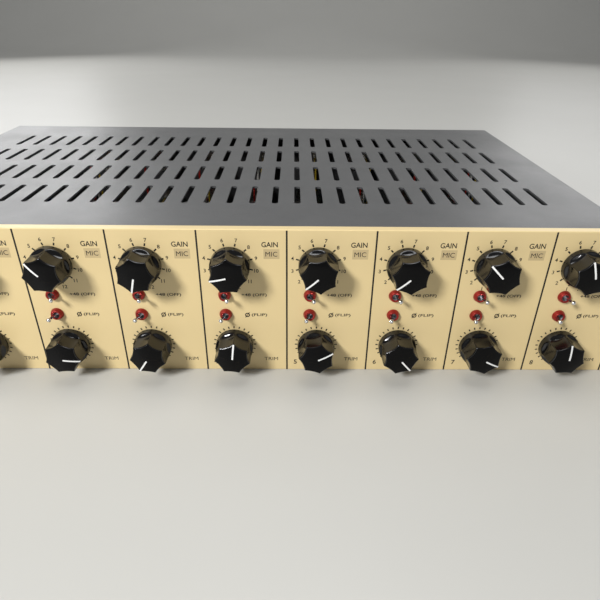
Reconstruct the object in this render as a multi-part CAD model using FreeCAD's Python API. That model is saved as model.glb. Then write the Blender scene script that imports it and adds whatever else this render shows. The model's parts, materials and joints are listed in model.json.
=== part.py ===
import FreeCAD, Part
import math
import os

Vector = FreeCAD.Vector

# A rack microphone preamplifier, two units high, with eight channels. Sizes are in
# millimetres. X runs along the front panel, the panel faces -Y and Z is up. The origin
# is at the middle of the bounding box, on the surface that the unit stands on.

# Front panel, with a rack slot in each corner
panel_width = 482.6
panel_height = 88.1
panel_thickness = 4.8
panel_chamfer = 0.4
rack_spacing_x = 465.1
rack_spacing_z = 76.2
rack_slot_width = 6.8
rack_slot_length = 10.3

# Folded steel case: a base that turns up at every side, and a cover over it
case_width = 431.8
case_height = 87.6
cover_length = 243.7
sheet = 1.2
bend_radius = 2.0
side_flange_height = 16.0
top_flange_width = 10.0
cover_gap = 0.15
cover_bottom = 0.4

# Ventilation slots in the cover
vent_rows = 4
vent_columns = 29
vent_row_pitch = 45.55
vent_column_pitch = 13.1
vent_first_row = 51.4
vent_width = 3.7
vent_length = 32.0

# Channel layout: the first channel starts a way in from the case's left side, and the
# controls are placed from their channel's left edge and the panel's bottom
channel_count = 8
channel_pitch = 46.3
channels_from_left = 64.3
knob_x = 16.6
gain_z = 68.4
trim_z = 18.0
toggle_x = 12.6
phantom_z = 50.2
polarity_z = 38.0

# Fluted knobs, seven lobes, and the set screw in the flute opposite the pointer
knob_gap = 0.8
knob_height = 15.6
knob_base_radius = 10.6
knob_face_radius = 10.1
knob_skirt = 1.6
knob_rim = 1.0
knob_crown = 2.3
knob_lobes = 7
knob_recess_radius = 7.9
knob_recess_depth = 3.4
flute_radius = 14.0
flute_floor_radius = 8.4
flute_end = 3.4
flute_round = 3.0
set_screw_radius = 1.75
set_screw_height = 9.0
set_screw_outer = 7.4
screw_slot = 0.7

# Gain switches and trim potentiometers
shaft_radius = 3.175
shaft_above_panel = 12.0
shaft_in_body = 9.0
bushing_radius = 4.75
bushing_above_panel = 3.0
control_nut_flats = 12.7
control_nut_thickness = 2.2
rotary_body_radius = 12.7
rotary_body_depth = 21.0
rotary_positions = 12
rotary_lug_circle = 10.6
pot_body_radius = 8.5
pot_body_depth = 12.0
lug_width = 1.6
lug_thickness = 0.6
lug_length = 5.0
lug_spacing = 5.0

# Sub-miniature toggles: the lever's ball turns in the bushing, and throws left to right
lever_tilt = 13.0
lever_length = 8.63
lever_tip_radius = 1.25
lever_neck_radius = 0.7
lever_root_radius = 0.8
lever_ball_radius = 1.75
lever_tail = 2.6
pivot_behind_face = 1.35
toggle_bushing_radius = 2.4
toggle_bushing_above_panel = 2.2
dress_nut_radius = 3.5
dress_nut_top_radius = 2.9
dress_nut_thickness = 2.0
toggle_body_width = 8.4
toggle_body_height = 8.2
toggle_body_depth = 9.0
toggle_lug_pitch = 2.5

# Power section at the left end: a larger toggle that throws up and down, and a lamp
power_x = 19.6
power_z = 38.0
lamp_z = 60.0
power_scale = 1.5
lamp_bezel_radius = 4.2
lamp_bezel_height = 1.6
lamp_lens_radius = 2.5
lamp_body_radius = 3.0
lamp_body_depth = 14.0

# Studs that hold the panel to the case
stud_radius = 2.0
stud_in_panel = 2.8
stud_nut_flats = 7.0
stud_nut_thickness = 3.2
stud_edge_inset = 8.5
stud_low_z = 12.0
stud_high_z = 76.0

# Cover screws and connector screws
screw_radius = 1.5
screw_head_radius = 2.8
screw_head_height = 1.8
screw_length = 8.0
cover_screw_z = 5.5
cover_screw_inset = 24.0
cross_width = 0.7
cross_depth = 1.0

# Round panel connectors
flange_thickness = 2.2
connector_width = 26.0
connector_height = 31.0
connector_corner = 3.0
input_z = 64.0
output_z = 26.0
input_body_radius = 11.8
output_body_radius = 10.6
connector_hole_radius = 12.1
connector_depth = 20.0
groove_outer_radius = 9.6
insert_radius = 7.8
well_radius = 8.0
well_depth = 14.5
contact_circle = 4.0
contact_radius = 1.2
contact_hole_radius = 1.4
contact_hole_depth = 12.5
contact_short_of_mouth = 2.5
cup_radius = 1.3
cup_length = 5.0
connector_screw_x = 9.5
connector_screw_z = 12.0

# Mains inlet
inlet_width = 50.0
inlet_height = 28.0
inlet_z = 44.0
inlet_screw_pitch = 40.0
inlet_body_width = 29.0
inlet_body_height = 21.5
inlet_body_depth = 18.0
inlet_well_width = 24.4
inlet_well_height = 16.8
inlet_well_corner = 4.5
inlet_well_depth = 15.5
blade_width = 2.0
blade_height = 4.0
blade_spacing = 14.0
blade_rise = 2.0
blade_tail = 7.0

# Boards on standoffs
board_thickness = 1.6
board_width = 41.0
board_offset_x = 19.0
board_length = 158.0
board_start = 44.0
board_hole_inset = 4.0
standoff_height = 8.0
standoff_flats = 5.5
standoff_shank = 1.1
supply_board_width = 50.0
supply_board_length = 78.0
supply_board_start = 126.0

# Parts on each channel board, placed by their distance from the board's front end
module_width = 28.6
module_length = 28.6
module_height = 15.0
module_standing = 3.0
module_pin_radius = 0.5
module_places = (24.0, 60.0)
input_can_radius = 11.0
input_can_height = 27.0
input_can_place = 138.0
input_can_x = -8.5
input_can_cap = 1.0
core_width = 32.0
core_length = 22.0
core_height = 27.0
core_place = 104.0
coil_length = 32.0
coil_width = 20.0
coil_height = 17.0
capacitor_radius = 5.0
capacitor_height = 20.0
capacitor_place = 138.0
capacitor_x = 12.5
capacitor_pitch = 11.0

# Parts of the power supply
toroid_radius = 28.0
toroid_hole_radius = 9.0
toroid_height = 34.0
toroid_round = 7.0
toroid_place = 84.0
washer_thickness = 1.5
washer_radius = 20.0
pad_thickness = 1.5
toroid_bolt_radius = 2.5
toroid_bolt_flats = 8.0
toroid_nut_thickness = 4.0
filter_radius = 8.0
filter_height = 28.0
filter_pitch = 18.0
filter_x = 12.0
sink_length = 60.0
sink_base = 3.0
sink_depth = 14.0
sink_height = 38.0
sink_fins = 9
sink_fin_thickness = 1.4
sink_x = -19.0
regulator_width = 10.4
regulator_height = 15.0
regulator_thickness = 4.5
regulator_count = 3

# Hook-up wire from the connectors to the boards
wire_radius = 0.8
wire_bend = 7.0
input_wire_inset = 7.0
output_wire_inset = 4.0

# Fits
push_clearance = 0.02
running_clearance = 0.05
ball_clearance = 0.1
hole_clearance = 0.1

# Where each knob and lever stands at rest: degrees clockwise from straight up
gain_angles = (-75, -45, -165, -105, -135, -135, -45, -15)
trim_angles = (-30, 100, -147, 6, 66, 141, 119, 0)

# Levels and faces that follow from the sizes above
front_reach = knob_gap + knob_height
total_depth = front_reach + panel_thickness + sheet + cover_length + flange_thickness
panel_front = front_reach - total_depth / 2
panel_back = panel_front + panel_thickness
wall_inside = panel_back + sheet
rear_outside = wall_inside + cover_length
rear_inside = rear_outside - sheet
case_left = -case_width / 2
power_centre = case_left + power_x
base_half_width = case_width / 2 - sheet - cover_gap
base_top = case_height - sheet - cover_gap
board_bottom = sheet + standoff_height
board_top = board_bottom + board_thickness
bushing_bore = shaft_radius + running_clearance
flange_back = rear_outside
flange_front = rear_outside + flange_thickness
supply_left = -base_half_width + sheet
section_right = case_left + channels_from_left
supply_centre = (supply_left + section_right) / 2


def box(x_span, y_span, z_span):
    size = [high - low for low, high in (x_span, y_span, z_span)]
    return Part.makeBox(size[0], size[1], size[2], Vector(x_span[0], y_span[0], z_span[0]))


def around(centre, width):
    return centre - width / 2, centre + width / 2


def rod(radius, x, z, y_start, y_end):
    return Part.makeCylinder(radius, y_end - y_start, Vector(x, y_start, z), Vector(0, 1, 0))


def post(radius, x, y, z_start, z_end):
    return Part.makeCylinder(radius, z_end - z_start, Vector(x, y, z_start))


def hex_outline(flats):
    corner = flats / math.sqrt(3)
    turns = [math.radians(60 * step) for step in range(7)]
    return [(corner * math.cos(turn), corner * math.sin(turn)) for turn in turns]


def hex_rod(flats, x, z, y_start, y_end):
    points = [Vector(x + across, y_start, z + up) for across, up in hex_outline(flats)]
    return Part.Face(Part.makePolygon(points)).extrude(Vector(0, y_end - y_start, 0))


def hex_post(flats, x, y, z_start, z_end):
    points = [Vector(x + across, y + along, z_start) for across, along in hex_outline(flats)]
    return Part.Face(Part.makePolygon(points)).extrude(Vector(0, 0, z_end - z_start))


def joined(first, *others):
    return first.fuse(list(others)).removeSplitter()


def edges_on(shape, test):
    return [edge for edge in shape.Edges if all(test(vertex.Point) for vertex in edge.Vertexes)]


def obround_face(width, length, centre, along, across):
    half = width / 2
    reach = (length - width) / 2
    right = centre + along * reach
    left = centre - along * reach
    lines = (Part.LineSegment(left + across * half, right + across * half),
             Part.LineSegment(right - across * half, left - across * half))
    arcs = (Part.Arc(right + across * half, right + along * half, right - across * half),
            Part.Arc(left - across * half, left - along * half, left + across * half))
    edges = [lines[0].toShape(), arcs[0].toShape(), lines[1].toShape(), arcs[1].toShape()]
    return Part.Face(Part.Wire(edges))


def channel_left(channel):
    return case_left + channels_from_left + channel * channel_pitch


def board_x(channel):
    return channel_left(channel) + board_offset_x


def knob_places(height):
    return [(channel_left(channel) + knob_x, height) for channel in range(channel_count)]


def toggle_places(height):
    return [(channel_left(channel) + toggle_x, height) for channel in range(channel_count)]


def all_knob_places():
    return knob_places(gain_z) + knob_places(trim_z)


def all_toggle_places():
    return toggle_places(phantom_z) + toggle_places(polarity_z)


def stud_places():
    inset = case_width / 2 - stud_edge_inset
    middle = channel_left(channel_count // 2)
    return [(x, z) for x in (-inset, middle, inset) for z in (stud_low_z, stud_high_z)]


def control_holes(y_start, y_end):
    holes = [rod(bushing_radius + hole_clearance, x, z, y_start, y_end)
             for x, z in all_knob_places()]
    holes += [rod(toggle_bushing_radius + hole_clearance, x, z, y_start, y_end)
              for x, z in all_toggle_places()]
    power_radius = toggle_bushing_radius * power_scale + hole_clearance
    holes.append(rod(power_radius, power_centre, power_z, y_start, y_end))
    holes.append(rod(lamp_body_radius + hole_clearance, power_centre, lamp_z, y_start, y_end))
    return holes


def front_panel():
    panel = box(around(0, panel_width), (panel_front, panel_back), (0, panel_height))
    rim = edges_on(panel, lambda point: point.y < panel_front + panel_chamfer)
    panel = panel.makeChamfer(panel_chamfer, rim)
    middle = panel_height / 2
    slots = []
    for x in around(0, rack_spacing_x):
        for z in around(middle, rack_spacing_z):
            centre = Vector(x, panel_front, z)
            face = obround_face(rack_slot_width, rack_slot_length, centre,
                                Vector(1, 0, 0), Vector(0, 0, 1))
            slots.append(face.extrude(Vector(0, panel_thickness, 0)))
    stud_holes = [rod(stud_radius + push_clearance, x, z, panel_back - stud_in_panel, panel_back)
                  for x, z in stud_places()]
    return panel.cut(slots + stud_holes + control_holes(panel_front, panel_back))


def panel_fixings():
    nut_back = wall_inside + stud_nut_thickness
    solids = []
    for x, z in stud_places():
        stud = rod(stud_radius, x, z, panel_back - stud_in_panel, nut_back + stud_radius)
        nut = hex_rod(stud_nut_flats, x, z, wall_inside, nut_back)
        solids.append(stud)
        solids.append(nut.cut(rod(stud_radius + push_clearance, x, z, wall_inside, nut_back)))
    return Part.makeCompound(solids)


def connector_places():
    columns = [board_x(channel) for channel in range(channel_count)]
    return [(x, z) for z in (input_z, output_z) for x in columns]


def connector_screw_places():
    places = [(x + side * connector_screw_x, z + side * connector_screw_z)
              for x, z in connector_places() for side in (-1, 1)]
    places += [(x, inlet_z) for x in around(supply_centre, inlet_screw_pitch)]
    return places


def board_screw_places():
    places = []
    for channel in range(channel_count):
        for x in around(board_x(channel), board_width - 2 * board_hole_inset):
            for y in around(board_start + board_length / 2, board_length - 2 * board_hole_inset):
                places.append((x, panel_front + y))
    supply_middle = supply_board_start + supply_board_length / 2
    for x in around(supply_centre, supply_board_width - 2 * board_hole_inset):
        for y in around(supply_middle, supply_board_length - 2 * board_hole_inset):
            places.append((x, panel_front + y))
    return places


def cover_screw_places():
    first = wall_inside + cover_screw_inset
    last = rear_outside - cover_screw_inset
    return [first, (first + last) / 2, last]


def chassis_base():
    wide = (-base_half_width, base_half_width)
    outside = box(wide, (panel_back, rear_outside), (0, base_top))
    corners = edges_on(outside, lambda point: point.z < sheet and point.y > wall_inside)
    outside = outside.makeFillet(bend_radius, corners)
    shoulders = edges_on(outside, lambda point: point.z > base_top - sheet)
    shoulders = [edge for edge in shoulders if abs(edge.tangentAt(edge.FirstParameter).y) > 0.5]
    outside = outside.makeFillet(bend_radius - sheet, shoulders)
    inside = box((wide[0] + sheet, wide[1] - sheet), (wall_inside, rear_inside),
                 (sheet, base_top - sheet))
    between_flanges = (wall_inside + top_flange_width, rear_inside - top_flange_width)
    mouth = box((wide[0] + sheet, wide[1] - sheet), between_flanges, (sheet, base_top))
    over_sides = box(wide, (wall_inside, rear_inside), (side_flange_height, base_top))
    over_sides = over_sides.cut(box((wide[0] + sheet, wide[1] - sheet), (wall_inside, rear_inside),
                                    (side_flange_height, base_top)))
    holes = control_holes(panel_back, wall_inside)
    holes += [rod(stud_radius + hole_clearance, x, z, panel_back, wall_inside)
              for x, z in stud_places()]
    holes += [rod(connector_hole_radius, x, z, rear_inside, rear_outside)
              for x, z in connector_places()]
    holes += [rod(screw_radius + push_clearance, x, z, rear_inside, rear_outside)
              for x, z in connector_screw_places()]
    holes.append(box(around(supply_centre, inlet_body_width + 2 * hole_clearance),
                     (rear_inside, rear_outside),
                     around(inlet_z, inlet_body_height + 2 * hole_clearance)))
    holes += [post(screw_radius + push_clearance, x, y, 0, sheet) for x, y in board_screw_places()]
    holes.append(post(toroid_bolt_radius + push_clearance, supply_centre,
                      panel_front + toroid_place, 0, sheet))
    for y in cover_screw_places():
        tapped = Part.makeCylinder(screw_radius + push_clearance, 2 * base_half_width,
                                   Vector(wide[0], y, cover_screw_z), Vector(1, 0, 0))
        holes.append(tapped)
    return outside.cut([inside, mouth, over_sides] + holes).removeSplitter()


def vent_slots():
    slots = []
    for row in range(vent_rows):
        y = wall_inside + vent_first_row + row * vent_row_pitch
        for column in range(vent_columns):
            x = (column - (vent_columns - 1) / 2) * vent_column_pitch
            centre = Vector(x, y, case_height - sheet)
            face = obround_face(vent_width, vent_length, centre, Vector(0, 1, 0), Vector(1, 0, 0))
            slots.append(face.extrude(Vector(0, 0, sheet)))
    return slots


def top_cover():
    along = (wall_inside, rear_outside)
    cover = box(around(0, case_width), along, (cover_bottom, case_height))
    bends = edges_on(cover, lambda point: point.z > case_height - sheet)
    bends = [edge for edge in bends if abs(edge.tangentAt(0).y) > 0.5]
    cover = cover.makeFillet(bend_radius, bends)
    hollow = box(around(0, case_width - 2 * sheet), along, (cover_bottom, case_height - sheet))
    inner_bends = edges_on(hollow, lambda point: point.z > case_height - 2 * sheet)
    inner_bends = [edge for edge in inner_bends if abs(edge.tangentAt(0).y) > 0.5]
    hollow = hollow.makeFillet(bend_radius - sheet, inner_bends)
    holes = [Part.makeCylinder(screw_radius + hole_clearance, case_width,
                               Vector(-case_width / 2, y, cover_screw_z), Vector(1, 0, 0))
             for y in cover_screw_places()]
    return cover.cut([hollow] + holes + vent_slots())


def pan_screw():
    # Points along +Z, with its head's underside at the origin.
    shank = Part.makeCylinder(screw_radius, screw_length)
    head = Part.makeCylinder(screw_head_radius, screw_head_height, Vector(0, 0, -screw_head_height))
    top = [edge for edge in head.Edges if abs(edge.CenterOfMass.z + screw_head_height) < 0.01]
    head = head.makeFillet(screw_head_height / 2, top)
    cross = driver_cross(-screw_head_height)
    return joined(shank, head).cut(cross)


def flat_screw():
    # Points along +Z, with its head's flat top at the origin.
    cone = Part.makeCone(screw_head_radius, screw_radius, screw_head_radius - screw_radius)
    shank = Part.makeCylinder(screw_radius, screw_length)
    return joined(cone, shank).cut(driver_cross(0))


def driver_cross(top):
    arm = 0.6 * screw_head_radius
    bar = box((-arm, arm), (-cross_width / 2, cross_width / 2), (top, top + cross_depth))
    other = bar.copy()
    other.rotate(Vector(0, 0, 0), Vector(0, 0, 1), 90)
    return joined(bar, other)


def placed(shape, position, axis, angle):
    copy = shape.copy()
    copy.rotate(Vector(0, 0, 0), axis, angle)
    copy.translate(position)
    return copy


def cover_screws():
    screw = pan_screw()
    solids = []
    for y in cover_screw_places():
        left = Vector(-case_width / 2, y, cover_screw_z)
        right = Vector(case_width / 2, y, cover_screw_z)
        solids.append(placed(screw, left, Vector(0, 1, 0), 90))
        solids.append(placed(screw, right, Vector(0, 1, 0), -90))
    return Part.makeCompound(solids)


def connector_screws():
    screw = flat_screw()
    solids = [placed(screw, Vector(x, flange_front, z), Vector(1, 0, 0), 90)
              for x, z in connector_screw_places()]
    return Part.makeCompound(solids)


def screw_seats():
    size = hole_clearance / 2
    depth = screw_head_radius - screw_radius
    seats = []
    for x, z in connector_screw_places():
        cone = Part.makeCone(screw_head_radius + size, screw_radius + size, depth,
                             Vector(x, flange_front, z), Vector(0, -1, 0))
        shank = rod(screw_radius + size, x, z, flange_back, flange_front)
        seats.append(joined(cone, shank))
    return seats


def knob_profile():
    inner = knob_gap + knob_recess_depth
    face = knob_gap + knob_height
    shoulder = face - knob_crown
    rim_centre = knob_face_radius - knob_rim
    bore = shaft_radius + push_clearance
    bore_top = shaft_above_panel + push_clearance
    crown_radius = (rim_centre ** 2 + knob_crown ** 2 - knob_rim ** 2) / (2 * (knob_crown - knob_rim))
    spread = crown_radius - knob_rim
    rim_turn = math.asin(rim_centre / spread)
    crown_centre = face - crown_radius
    outline = [(bore, bore_top), (bore, inner), (knob_recess_radius, inner),
               (knob_recess_radius, knob_gap), (knob_base_radius, knob_gap),
               (knob_base_radius, knob_gap + knob_skirt), (knob_face_radius, shoulder)]
    points = [Vector(radius, -height, 0) for radius, height in outline]
    half_turn = (rim_turn + math.pi / 2) / 2
    rim_middle = Vector(rim_centre + knob_rim * math.sin(half_turn),
                        -shoulder - knob_rim * math.cos(half_turn), 0)
    rim_end = Vector(crown_radius * math.sin(rim_turn), -crown_centre - crown_radius * math.cos(rim_turn), 0)
    crown_middle = Vector(crown_radius * math.sin(rim_turn / 2),
                          -crown_centre - crown_radius * math.cos(rim_turn / 2), 0)
    centre = Vector(0, -face, 0)
    edges = [Part.LineSegment(start, end).toShape() for start, end in zip(points, points[1:])]
    edges.append(Part.Arc(points[-1], rim_middle, rim_end).toShape())
    edges.append(Part.Arc(rim_end, crown_middle, centre).toShape())
    edges.append(Part.LineSegment(centre, Vector(0, -bore_top, 0)).toShape())
    edges.append(Part.LineSegment(Vector(0, -bore_top, 0), points[0]).toShape())
    return Part.Face(Part.Wire(edges))


def flute_cutters():
    # Wide, shallow flutes whose lower ends curve out of the skirt.
    reach_out = flute_floor_radius + flute_radius
    start = knob_gap + flute_end
    end = knob_gap + knob_height + knob_rim
    cutters = []
    for lobe in range(knob_lobes):
        turn = math.radians((lobe + 0.5) * 360 / knob_lobes)
        cutter = rod(flute_radius, reach_out * math.sin(turn), reach_out * math.cos(turn), -end, -start)
        lower_rim = edges_on(cutter, lambda point: abs(point.y + start) < 0.01)
        cutters.append(cutter.makeFillet(flute_round, lower_rim))
    return cutters


def knob():
    # Stands on the origin's Y axis, with its face towards -Y and its pointer lobe up.
    body = knob_profile().revolve(Vector(0, 0, 0), Vector(0, 1, 0), 360)
    screw_start = shaft_radius + running_clearance
    hole = Part.makeCylinder(set_screw_radius + push_clearance, knob_base_radius,
                             Vector(0, -set_screw_height, 0), Vector(0, 0, -1))
    body = body.cut(flute_cutters() + [hole])
    screw = Part.makeCylinder(set_screw_radius, set_screw_outer - screw_start,
                              Vector(0, -set_screw_height, -screw_start), Vector(0, 0, -1))
    slot = box(around(0, 2 * set_screw_radius), around(-set_screw_height, screw_slot),
               (-set_screw_outer, screw_slot - set_screw_outer))
    shaft_back = panel_thickness + sheet + shaft_in_body
    shaft = rod(shaft_radius, 0, 0, -shaft_above_panel, shaft_back)
    return Part.makeCompound([body, screw.cut(slot), shaft])


def set_knob(pattern, x, z, angle):
    return placed(pattern, Vector(x, panel_front, z), Vector(0, 1, 0), angle)


def control_body(x, z, radius, depth):
    bushing = rod(bushing_radius, x, z, panel_front - bushing_above_panel, wall_inside)
    body = rod(radius, x, z, wall_inside, wall_inside + depth)
    room = rod(bushing_bore, x, z, panel_front - bushing_above_panel,
               wall_inside + shaft_in_body + running_clearance)
    return joined(bushing, body).cut(room)


def rotary_switch_bodies():
    solids = []
    for x, z in knob_places(gain_z):
        body = control_body(x, z, rotary_body_radius, rotary_body_depth)
        back = wall_inside + rotary_body_depth
        lug = box(around(0, lug_width), (back, back + lug_length),
                  around(rotary_lug_circle, lug_thickness))
        lugs = [placed(lug, Vector(x, 0, z), Vector(0, 1, 0), (step + 0.5) * 360 / rotary_positions)
                for step in range(rotary_positions)]
        solids.append(joined(body, *lugs))
    return Part.makeCompound(solids)


def trim_pot_bodies():
    solids = []
    back = wall_inside + pot_body_depth
    for x, z in knob_places(trim_z):
        body = control_body(x, z, pot_body_radius, pot_body_depth)
        lugs = [box(around(x + step * lug_spacing, lug_width), (back, back + lug_length),
                    around(z, lug_thickness)) for step in (-1, 0, 1)]
        solids.append(joined(body, *lugs))
    return Part.makeCompound(solids)


def control_nuts():
    solids = []
    for x, z in all_knob_places():
        top = panel_front - control_nut_thickness
        nut = hex_rod(control_nut_flats, x, z, top, panel_front)
        solids.append(nut.cut(rod(bushing_radius + push_clearance, x, z, top, panel_front)))
    return Part.makeCompound(solids)


def lever(size):
    # Its ball is on the origin and it points to -Y.
    length = lever_length * size
    ball = Part.makeSphere(lever_ball_radius * size)
    stem = Part.makeCone(lever_root_radius * size, lever_neck_radius * size, length,
                         Vector(0, 0, 0), Vector(0, -1, 0))
    tip = Part.makeSphere(lever_tip_radius * size, Vector(0, -length, 0))
    tail = Part.makeCylinder(lever_neck_radius * size, lever_tail * size,
                             Vector(0, 0, 0), Vector(0, 1, 0))
    return joined(ball, stem, tip, tail)


def set_lever(x, z, axis, angle, size):
    return placed(lever(size), Vector(x, panel_front + pivot_behind_face * size, z), axis, angle)


def toggle_body(x, z, size):
    front = panel_front - toggle_bushing_above_panel * size
    back = wall_inside + toggle_body_depth * size
    bushing = rod(toggle_bushing_radius * size, x, z, front, wall_inside)
    body = box(around(x, toggle_body_width * size), (wall_inside, back),
               around(z, toggle_body_height * size))
    lugs = [box(around(x + step * toggle_lug_pitch * size, lug_width), (back, back + lug_length),
                around(z, lug_thickness)) for step in (-1, 0, 1)]
    room_end = panel_front + (pivot_behind_face + lever_tail + lever_neck_radius) * size
    room = rod(lever_ball_radius * size + ball_clearance, x, z, front, room_end)
    return joined(bushing, body, *lugs).cut(room)


def toggle_switch_bodies():
    solids = [toggle_body(x, z, 1) for x, z in all_toggle_places()]
    solids.append(toggle_body(power_centre, power_z, power_scale))
    return Part.makeCompound(solids)


def dress_nut(x, z, size):
    thickness = dress_nut_thickness * size
    cone = Part.makeCone(dress_nut_radius * size, dress_nut_top_radius * size, thickness,
                         Vector(x, panel_front, z), Vector(0, -1, 0))
    bore = toggle_bushing_radius * size + push_clearance
    return cone.cut(rod(bore, x, z, panel_front - thickness, panel_front))


def toggle_dress_nuts():
    solids = [dress_nut(x, z, 1) for x, z in all_toggle_places()]
    solids.append(dress_nut(power_centre, power_z, power_scale))
    return Part.makeCompound(solids)


def pilot_lamp():
    lip = panel_front - lamp_bezel_height
    body_end = panel_front + lamp_body_depth
    bezel = joined(rod(lamp_bezel_radius, power_centre, lamp_z, lip, panel_front),
                   rod(lamp_body_radius, power_centre, lamp_z, panel_front, body_end))
    bezel = bezel.cut(rod(lamp_lens_radius + push_clearance, power_centre, lamp_z, lip, panel_back))
    lens = joined(rod(lamp_lens_radius, power_centre, lamp_z, lip, panel_back),
                  Part.makeSphere(lamp_lens_radius, Vector(power_centre, lip, lamp_z)))
    return Part.makeCompound([bezel, lens])


def connector_flange(x, z):
    plate = box(around(x, connector_width), (flange_back, flange_front),
                around(z, connector_height))
    corners = [edge for edge in plate.Edges if abs(edge.tangentAt(0).y) > 0.5]
    return plate.makeFillet(connector_corner, corners)


def contact_places(x, z):
    turns = [math.radians(angle) for angle in (150, 30, 270)]
    return [(x + contact_circle * math.cos(turn), z + contact_circle * math.sin(turn))
            for turn in turns]


def connector_back():
    return rear_outside - connector_depth


def connector_body(x, z, radius):
    back = connector_back()
    body = rod(radius, x, z, back, flange_back)
    cups = [rod(cup_radius, cup_x, cup_z, back - cup_length, back)
            for cup_x, cup_z in contact_places(x, z)]
    return joined(connector_flange(x, z), body, *cups)


def connector_row(z, body_radius, bore_radius):
    # One housing for each channel, open at the rear as far as the well's floor.
    solids = []
    for channel in range(channel_count):
        x = board_x(channel)
        well = rod(bore_radius, x, z, flange_front - well_depth, flange_front)
        solids.append(connector_body(x, z, body_radius).cut([well] + screw_seats()))
    return Part.makeCompound(solids)


def input_connectors():
    return connector_row(input_z, input_body_radius, groove_outer_radius)


def input_inserts():
    # Each stands in its housing, with a groove round it and three contact holes in its end.
    solids = []
    floor = flange_front - well_depth
    for channel in range(channel_count):
        x = board_x(channel)
        holes = [rod(contact_hole_radius, hole_x, hole_z, flange_front - contact_hole_depth, flange_front)
                 for hole_x, hole_z in contact_places(x, input_z)]
        solids.append(rod(insert_radius, x, input_z, floor, flange_front).cut(holes))
    return Part.makeCompound(solids)


def output_connectors():
    return connector_row(output_z, output_body_radius, well_radius)


def inlet_blade_places():
    side = blade_spacing / 2
    return [(supply_centre - side, inlet_z - blade_rise), (supply_centre, inlet_z + blade_rise),
            (supply_centre + side, inlet_z - blade_rise)]


def connector_contacts():
    solids = []
    floor = flange_front - well_depth
    for channel in range(channel_count):
        for x, z in contact_places(board_x(channel), output_z):
            pin = rod(contact_radius, x, z, floor, flange_front - contact_short_of_mouth)
            rim = [edge for edge in pin.Edges if edge.CenterOfMass.y > floor + contact_radius]
            rim = [edge for edge in rim if abs(edge.tangentAt(0).y) < 0.5]
            solids.append(pin.makeFillet(contact_radius / 2, rim))
    blade_floor = flange_front - inlet_well_depth
    for x, z in inlet_blade_places():
        solids.append(box(around(x, blade_width), (blade_floor, flange_front - contact_short_of_mouth),
                          around(z, blade_height)))
    return Part.makeCompound(solids)


def inlet_well():
    left, right = around(supply_centre, inlet_well_width)
    low, high = around(inlet_z, inlet_well_height)
    cut = inlet_well_corner
    outline = [(left, low), (right, low), (right, high - cut), (right - cut, high),
               (left + cut, high), (left, high - cut), (left, low)]
    points = [Vector(x, flange_front - inlet_well_depth, z) for x, z in outline]
    return Part.Face(Part.makePolygon(points)).extrude(Vector(0, inlet_well_depth, 0))


def mains_inlet():
    plate = box(around(supply_centre, inlet_width), (flange_back, flange_front),
                around(inlet_z, inlet_height))
    corners = [edge for edge in plate.Edges if abs(edge.tangentAt(0).y) > 0.5]
    plate = plate.makeFillet(connector_corner, corners)
    back = rear_outside - inlet_body_depth
    body = box(around(supply_centre, inlet_body_width), (back, flange_back),
               around(inlet_z, inlet_body_height))
    tails = [box(around(x, blade_height), (back - blade_tail, back), around(z, blade_width / 2))
             for x, z in inlet_blade_places()]
    return joined(plate, body, *tails).cut([inlet_well()] + screw_seats())


def board(x, y_start, width, length, holes):
    y = panel_front + y_start
    plate = box(around(x, width), (y, y + length), (board_bottom, board_top))
    return plate.cut([post(screw_radius + hole_clearance, hole_x, hole_y, board_bottom, board_top)
                      for hole_x, hole_y in holes])


def circuit_boards():
    boards = [board(board_x(channel), board_start, board_width, board_length, board_screw_places())
              for channel in range(channel_count)]
    boards.append(board(supply_centre, supply_board_start, supply_board_width, supply_board_length,
                        board_screw_places()))
    return Part.makeCompound(boards)


def board_fixings():
    # Press-in standoffs with a pan-head screw in the top of each.
    solids = []
    tip = board_top - screw_length
    screw = pan_screw()
    for x, y in board_screw_places():
        shank = post(screw_radius, x, y, sheet - standoff_shank, sheet)
        body = joined(hex_post(standoff_flats, x, y, sheet, board_bottom), shank)
        solids.append(body.cut(post(screw_radius + push_clearance, x, y, tip, board_bottom)))
        solids.append(placed(screw, Vector(x, y, board_top), Vector(1, 0, 0), 180))
    return Part.makeCompound(solids)


def op_amp_modules():
    solids = []
    low = board_top + module_standing
    for channel in range(channel_count):
        x = board_x(channel)
        for place in module_places:
            y = panel_front + board_start + place
            block = box(around(x, module_width), around(y, module_length), (low, low + module_height))
            uprights = [edge for edge in block.Edges if abs(edge.tangentAt(0).z) > 0.5]
            block = block.makeFillet(module_standing / 2, uprights)
            pins = [post(module_pin_radius, pin_x, pin_y, board_top, low)
                    for pin_x in around(x, 0.8 * module_width)
                    for pin_y in around(y, 0.8 * module_length)]
            solids.append(joined(block, *pins))
    return Part.makeCompound(solids)


def input_transformers():
    solids = []
    for channel in range(channel_count):
        x = board_x(channel) + input_can_x
        y = panel_front + board_start + input_can_place
        can = post(input_can_radius, x, y, board_top, board_top + input_can_height)
        rim = [edge for edge in can.Edges if edge.CenterOfMass.z > board_top + input_can_height - 1]
        rim = [edge for edge in rim if abs(edge.tangentAt(0).z) < 0.5]
        solids.append(can.makeFillet(input_can_cap, rim))
    return Part.makeCompound(solids)


def output_transformers():
    # A laminated core standing on the board, with its winding through both windows.
    solids = []
    for channel in range(channel_count):
        x = board_x(channel)
        y = panel_front + board_start + core_place
        middle = board_top + core_height / 2
        core = box(around(x, core_width), around(y, core_length), (board_top, board_top + core_height))
        winding = box(around(x, coil_width), around(y, coil_length), around(middle, coil_height))
        corners = [edge for edge in winding.Edges if abs(edge.tangentAt(0).y) > 0.5]
        solids.append(joined(core, winding.makeFillet(module_standing, corners)))
    return Part.makeCompound(solids)


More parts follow.
